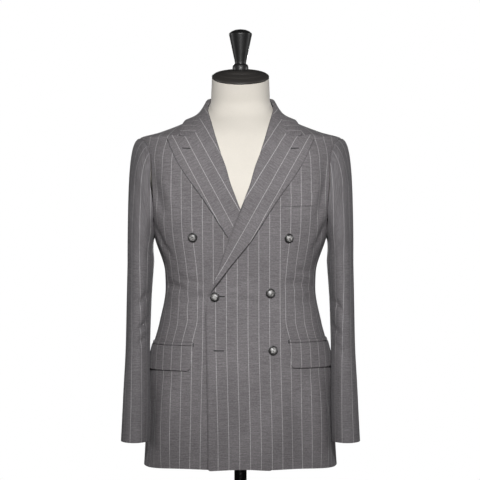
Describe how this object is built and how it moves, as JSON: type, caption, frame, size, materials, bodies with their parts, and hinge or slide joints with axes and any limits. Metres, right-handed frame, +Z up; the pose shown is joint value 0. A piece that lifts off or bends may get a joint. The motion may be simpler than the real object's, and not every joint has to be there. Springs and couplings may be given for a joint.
{
  "type": "double breasted blazer on a dress form",
  "caption": "Tailored double breasted blazer with peak lapels and flap pockets, worn by a limbless dress form that stands on a pole and a round weighted base.",
  "frame": {"origin": "on the floor, under the middle of the round base, which is also the bottom centre of the whole object's box", "axes": "+Z up the pole, -Y the way the jacket's front faces, +X towards the wearer's left side"},
  "size_m": [0.4928, 0.38, 1.7276],
  "materials": {
    "suiting": "mid grey wool with fine light grey lengthwise stripes, matt with a faint sheen",
    "horn": "dark grey mottled horn, softly polished",
    "form_linen": "off-white stretched jersey cover, matt",
    "black_lacquer": "black gloss lacquer on turned wood",
    "black_metal": "black satin powder coat"
  },
  "bodies": {
    "root": {"front_left": "suiting", "front_right": "suiting", "side_left": "suiting", "side_right": "suiting", "back_left": "suiting", "back_right": "suiting", "sleeve_top_left": "suiting", "sleeve_top_right": "suiting", "sleeve_under_left": "suiting", "sleeve_under_right": "suiting", "lapel_left": "suiting", "lapel_right": "suiting", "collar_leaf": "suiting", "collar_stand": "suiting", "hip_flap_left": "suiting", "hip_flap_right": "suiting", "hip_jetting_left": "suiting", "hip_jetting_right": "suiting", "breast_welt": "suiting", "button_upper_left": "horn", "button_upper_right": "horn", "button_middle_left": "horn", "button_fastened": "horn", "button_lower_left": "horn", "form_torso": "form_linen", "neck_cap": "black_lacquer", "finial": "black_lacquer", "pole": "black_metal", "base": "black_metal"}
  },
  "joints": []
}
